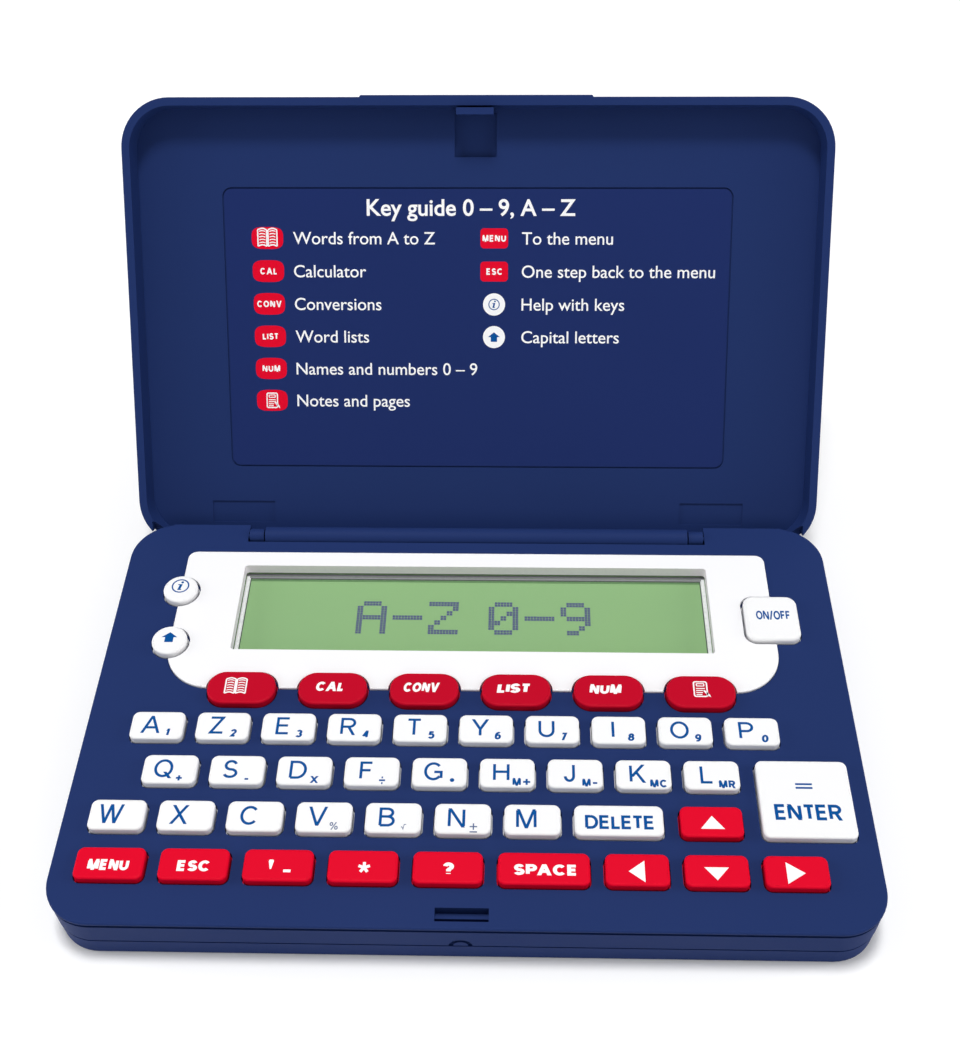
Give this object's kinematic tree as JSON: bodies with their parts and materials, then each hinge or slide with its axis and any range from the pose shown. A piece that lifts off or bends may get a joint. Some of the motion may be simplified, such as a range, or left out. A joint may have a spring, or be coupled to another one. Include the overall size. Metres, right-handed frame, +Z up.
{
  "type": "electronic dictionary",
  "caption": "Pocket electronic dictionary: shallow keyboard base with a display and moulded keys, and a tray-shaped lid on a rear hinge, standing open.",
  "frame": {"origin": "centre of the base in plan, on the flat underside", "axes": "+X to the user's right, -Y towards the front edge, +Z up"},
  "size_m": [0.135, 0.1368, 0.0787],
  "materials": {
    "navy_case": "fine moulded texture",
    "legend_film": "printed film",
    "white_fascia": "satin",
    "white_keys": "satin",
    "red_keys": "satin",
    "oval_keys": "satin",
    "clear_lens": "clear",
    "display": "liquid crystal",
    "silicone": "matt",
    "circuit_board": "solder mask",
    "cell_steel": "plated",
    "screw_steel": "black zinc"
  },
  "bodies": {
    "base": {"upper_case": "navy_case", "lower_case": "navy_case", "screen_fascia": "white_fascia", "display_lens": "clear_lens", "display_module": "display", "key_mat": "silicone", "main_board": "circuit_board", "coin_cells": "cell_steel", "battery_contacts": "cell_steel", "case_screws": "screw_steel"},
    "lid": {"lid": "navy_case", "legend_plate": "legend_film"},
    "battery_cover": {"battery_cover": "navy_case"},
    "key_book": {"key_book": "oval_keys"},
    "key_f2": {"key_f2": "oval_keys"},
    "key_f3": {"key_f3": "oval_keys"},
    "key_f4": {"key_f4": "oval_keys"},
    "key_f5": {"key_f5": "oval_keys"},
    "key_notes": {"key_notes": "oval_keys"},
    "key_info": {"key_info": "white_keys"},
    "key_shift": {"key_shift": "white_keys"},
    "key_power": {"key_power": "white_keys"},
    "key_a": {"key_a": "white_keys"},
    "key_z": {"key_z": "white_keys"},
    "key_e": {"key_e": "white_keys"},
    "key_r": {"key_r": "white_keys"},
    "key_t": {"key_t": "white_keys"},
    "key_y": {"key_y": "white_keys"},
    "key_u": {"key_u": "white_keys"},
    "key_i": {"key_i": "white_keys"},
    "key_o": {"key_o": "white_keys"},
    "key_p": {"key_p": "white_keys"},
    "key_q": {"key_q": "white_keys"},
    "key_s": {"key_s": "white_keys"},
    "key_d": {"key_d": "white_keys"},
    "key_f": {"key_f": "white_keys"},
    "key_g": {"key_g": "white_keys"},
    "key_h": {"key_h": "white_keys"},
    "key_j": {"key_j": "white_keys"},
    "key_k": {"key_k": "white_keys"},
    "key_l": {"key_l": "white_keys"},
    "key_w": {"key_w": "white_keys"},
    "key_x": {"key_x": "white_keys"},
    "key_c": {"key_c": "white_keys"},
    "key_v": {"key_v": "white_keys"},
    "key_b": {"key_b": "white_keys"},
    "key_n": {"key_n": "white_keys"},
    "key_m": {"key_m": "white_keys"},
    "key_delete": {"key_delete": "white_keys"},
    "key_up": {"key_up": "red_keys"},
    "key_enter": {"key_enter": "white_keys"},
    "key_control": {"key_control": "red_keys"},
    "key_escape": {"key_escape": "red_keys"},
    "key_apostrophe": {"key_apostrophe": "red_keys"},
    "key_star": {"key_star": "red_keys"},
    "key_question": {"key_question": "red_keys"},
    "key_space": {"key_space": "red_keys"},
    "key_left": {"key_left": "red_keys"},
    "key_down": {"key_down": "red_keys"},
    "key_right": {"key_right": "red_keys"}
  },
  "joints": [
    {"name": "lid_hinge", "type": "hinge", "parent": "base", "child": "lid", "pos_m": [0, 0.04075, 0.0098], "axis": [-1, 0, 0], "range_deg": [-124.6, 0]},
    {"name": "battery_cover_slide", "type": "slide", "parent": "base", "child": "battery_cover", "axis": [0, 1, 0], "range_m": [0, 0.012]},
    {"name": "key_book_press", "type": "slide", "parent": "base", "child": "key_book", "axis": [0, 0, -1], "range_m": [0, 0.0008], "stiffness_N_per_m": 500, "springref_m": -0.0003, "deforming": ["key_mat"]},
    {"name": "key_f2_press", "type": "slide", "parent": "base", "child": "key_f2", "axis": [0, 0, -1], "range_m": [0, 0.0008], "stiffness_N_per_m": 500, "springref_m": -0.0003, "deforming": ["key_mat"]},
    {"name": "key_f3_press", "type": "slide", "parent": "base", "child": "key_f3", "axis": [0, 0, -1], "range_m": [0, 0.0008], "stiffness_N_per_m": 500, "springref_m": -0.0003, "deforming": ["key_mat"]},
    {"name": "key_f4_press", "type": "slide", "parent": "base", "child": "key_f4", "axis": [0, 0, -1], "range_m": [0, 0.0008], "stiffness_N_per_m": 500, "springref_m": -0.0003, "deforming": ["key_mat"]},
    {"name": "key_f5_press", "type": "slide", "parent": "base", "child": "key_f5", "axis": [0, 0, -1], "range_m": [0, 0.0008], "stiffness_N_per_m": 500, "springref_m": -0.0003, "deforming": ["key_mat"]},
    {"name": "key_notes_press", "type": "slide", "parent": "base", "child": "key_notes", "axis": [0, 0, -1], "range_m": [0, 0.0008], "stiffness_N_per_m": 500, "springref_m": -0.0003, "deforming": ["key_mat"]},
    {"name": "key_info_press", "type": "slide", "parent": "base", "child": "key_info", "axis": [0, 0, -1], "range_m": [0, 0.0008], "stiffness_N_per_m": 500, "springref_m": -0.0003, "deforming": ["key_mat"]},
    {"name": "key_shift_press", "type": "slide", "parent": "base", "child": "key_shift", "axis": [0, 0, -1], "range_m": [0, 0.0008], "stiffness_N_per_m": 500, "springref_m": -0.0003, "deforming": ["key_mat"]},
    {"name": "key_power_press", "type": "slide", "parent": "base", "child": "key_power", "axis": [0, 0, -1], "range_m": [0, 0.0008], "stiffness_N_per_m": 500, "springref_m": -0.0003, "deforming": ["key_mat"]},
    {"name": "key_a_press", "type": "slide", "parent": "base", "child": "key_a", "axis": [0, 0, -1], "range_m": [0, 0.0008], "stiffness_N_per_m": 500, "springref_m": -0.0003, "deforming": ["key_mat"]},
    {"name": "key_z_press", "type": "slide", "parent": "base", "child": "key_z", "axis": [0, 0, -1], "range_m": [0, 0.0008], "stiffness_N_per_m": 500, "springref_m": -0.0003, "deforming": ["key_mat"]},
    {"name": "key_e_press", "type": "slide", "parent": "base", "child": "key_e", "axis": [0, 0, -1], "range_m": [0, 0.0008], "stiffness_N_per_m": 500, "springref_m": -0.0003, "deforming": ["key_mat"]},
    {"name": "key_r_press", "type": "slide", "parent": "base", "child": "key_r", "axis": [0, 0, -1], "range_m": [0, 0.0008], "stiffness_N_per_m": 500, "springref_m": -0.0003, "deforming": ["key_mat"]},
    {"name": "key_t_press", "type": "slide", "parent": "base", "child": "key_t", "axis": [0, 0, -1], "range_m": [0, 0.0008], "stiffness_N_per_m": 500, "springref_m": -0.0003, "deforming": ["key_mat"]},
    {"name": "key_y_press", "type": "slide", "parent": "base", "child": "key_y", "axis": [0, 0, -1], "range_m": [0, 0.0008], "stiffness_N_per_m": 500, "springref_m": -0.0003, "deforming": ["key_mat"]},
    {"name": "key_u_press", "type": "slide", "parent": "base", "child": "key_u", "axis": [0, 0, -1], "range_m": [0, 0.0008], "stiffness_N_per_m": 500, "springref_m": -0.0003, "deforming": ["key_mat"]},
    {"name": "key_i_press", "type": "slide", "parent": "base", "child": "key_i", "axis": [0, 0, -1], "range_m": [0, 0.0008], "stiffness_N_per_m": 500, "springref_m": -0.0003, "deforming": ["key_mat"]},
    {"name": "key_o_press", "type": "slide", "parent": "base", "child": "key_o", "axis": [0, 0, -1], "range_m": [0, 0.0008], "stiffness_N_per_m": 500, "springref_m": -0.0003, "deforming": ["key_mat"]},
    {"name": "key_p_press", "type": "slide", "parent": "base", "child": "key_p", "axis": [0, 0, -1], "range_m": [0, 0.0008], "stiffness_N_per_m": 500, "springref_m": -0.0003, "deforming": ["key_mat"]},
    {"name": "key_q_press", "type": "slide", "parent": "base", "child": "key_q", "axis": [0, 0, -1], "range_m": [0, 0.0008], "stiffness_N_per_m": 500, "springref_m": -0.0003, "deforming": ["key_mat"]},
    {"name": "key_s_press", "type": "slide", "parent": "base", "child": "key_s", "axis": [0, 0, -1], "range_m": [0, 0.0008], "stiffness_N_per_m": 500, "springref_m": -0.0003, "deforming": ["key_mat"]},
    {"name": "key_d_press", "type": "slide", "parent": "base", "child": "key_d", "axis": [0, 0, -1], "range_m": [0, 0.0008], "stiffness_N_per_m": 500, "springref_m": -0.0003, "deforming": ["key_mat"]},
    {"name": "key_f_press", "type": "slide", "parent": "base", "child": "key_f", "axis": [0, 0, -1], "range_m": [0, 0.0008], "stiffness_N_per_m": 500, "springref_m": -0.0003, "deforming": ["key_mat"]},
    {"name": "key_g_press", "type": "slide", "parent": "base", "child": "key_g", "axis": [0, 0, -1], "range_m": [0, 0.0008], "stiffness_N_per_m": 500, "springref_m": -0.0003, "deforming": ["key_mat"]},
    {"name": "key_h_press", "type": "slide", "parent": "base", "child": "key_h", "axis": [0, 0, -1], "range_m": [0, 0.0008], "stiffness_N_per_m": 500, "springref_m": -0.0003, "deforming": ["key_mat"]},
    {"name": "key_j_press", "type": "slide", "parent": "base", "child": "key_j", "axis": [0, 0, -1], "range_m": [0, 0.0008], "stiffness_N_per_m": 500, "springref_m": -0.0003, "deforming": ["key_mat"]},
    {"name": "key_k_press", "type": "slide", "parent": "base", "child": "key_k", "axis": [0, 0, -1], "range_m": [0, 0.0008], "stiffness_N_per_m": 500, "springref_m": -0.0003, "deforming": ["key_mat"]},
    {"name": "key_l_press", "type": "slide", "parent": "base", "child": "key_l", "axis": [0, 0, -1], "range_m": [0, 0.0008], "stiffness_N_per_m": 500, "springref_m": -0.0003, "deforming": ["key_mat"]},
    {"name": "key_w_press", "type": "slide", "parent": "base", "child": "key_w", "axis": [0, 0, -1], "range_m": [0, 0.0008], "stiffness_N_per_m": 500, "springref_m": -0.0003, "deforming": ["key_mat"]},
    {"name": "key_x_press", "type": "slide", "parent": "base", "child": "key_x", "axis": [0, 0, -1], "range_m": [0, 0.0008], "stiffness_N_per_m": 500, "springref_m": -0.0003, "deforming": ["key_mat"]},
    {"name": "key_c_press", "type": "slide", "parent": "base", "child": "key_c", "axis": [0, 0, -1], "range_m": [0, 0.0008], "stiffness_N_per_m": 500, "springref_m": -0.0003, "deforming": ["key_mat"]},
    {"name": "key_v_press", "type": "slide", "parent": "base", "child": "key_v", "axis": [0, 0, -1], "range_m": [0, 0.0008], "stiffness_N_per_m": 500, "springref_m": -0.0003, "deforming": ["key_mat"]},
    {"name": "key_b_press", "type": "slide", "parent": "base", "child": "key_b", "axis": [0, 0, -1], "range_m": [0, 0.0008], "stiffness_N_per_m": 500, "springref_m": -0.0003, "deforming": ["key_mat"]},
    {"name": "key_n_press", "type": "slide", "parent": "base", "child": "key_n", "axis": [0, 0, -1], "range_m": [0, 0.0008], "stiffness_N_per_m": 500, "springref_m": -0.0003, "deforming": ["key_mat"]},
    {"name": "key_m_press", "type": "slide", "parent": "base", "child": "key_m", "axis": [0, 0, -1], "range_m": [0, 0.0008], "stiffness_N_per_m": 500, "springref_m": -0.0003, "deforming": ["key_mat"]},
    {"name": "key_delete_press", "type": "slide", "parent": "base", "child": "key_delete", "axis": [0, 0, -1], "range_m": [0, 0.0008], "stiffness_N_per_m": 500, "springref_m": -0.0003, "deforming": ["key_mat"]},
    {"name": "key_up_press", "type": "slide", "parent": "base", "child": "key_up", "axis": [0, 0, -1], "range_m": [0, 0.0008], "stiffness_N_per_m": 500, "springref_m": -0.0003, "deforming": ["key_mat"]},
    {"name": "key_enter_press", "type": "slide", "parent": "base", "child": "key_enter", "axis": [0, 0, -1], "range_m": [0, 0.0008], "stiffness_N_per_m": 500, "springref_m": -0.0003, "deforming": ["key_mat"]},
    {"name": "key_control_press", "type": "slide", "parent": "base", "child": "key_control", "axis": [0, 0, -1], "range_m": [0, 0.0008], "stiffness_N_per_m": 500, "springref_m": -0.0003, "deforming": ["key_mat"]},
    {"name": "key_escape_press", "type": "slide", "parent": "base", "child": "key_escape", "axis": [0, 0, -1], "range_m": [0, 0.0008], "stiffness_N_per_m": 500, "springref_m": -0.0003, "deforming": ["key_mat"]},
    {"name": "key_apostrophe_press", "type": "slide", "parent": "base", "child": "key_apostrophe", "axis": [0, 0, -1], "range_m": [0, 0.0008], "stiffness_N_per_m": 500, "springref_m": -0.0003, "deforming": ["key_mat"]},
    {"name": "key_star_press", "type": "slide", "parent": "base", "child": "key_star", "axis": [0, 0, -1], "range_m": [0, 0.0008], "stiffness_N_per_m": 500, "springref_m": -0.0003, "deforming": ["key_mat"]},
    {"name": "key_question_press", "type": "slide", "parent": "base", "child": "key_question", "axis": [0, 0, -1], "range_m": [0, 0.0008], "stiffness_N_per_m": 500, "springref_m": -0.0003, "deforming": ["key_mat"]},
    {"name": "key_space_press", "type": "slide", "parent": "base", "child": "key_space", "axis": [0, 0, -1], "range_m": [0, 0.0008], "stiffness_N_per_m": 500, "springref_m": -0.0003, "deforming": ["key_mat"]},
    {"name": "key_left_press", "type": "slide", "parent": "base", "child": "key_left", "axis": [0, 0, -1], "range_m": [0, 0.0008], "stiffness_N_per_m": 500, "springref_m": -0.0003, "deforming": ["key_mat"]},
    {"name": "key_down_press", "type": "slide", "parent": "base", "child": "key_down", "axis": [0, 0, -1], "range_m": [0, 0.0008], "stiffness_N_per_m": 500, "springref_m": -0.0003, "deforming": ["key_mat"]},
    {"name": "key_right_press", "type": "slide", "parent": "base", "child": "key_right", "axis": [0, 0, -1], "range_m": [0, 0.0008], "stiffness_N_per_m": 500, "springref_m": -0.0003, "deforming": ["key_mat"]}
  ]
}
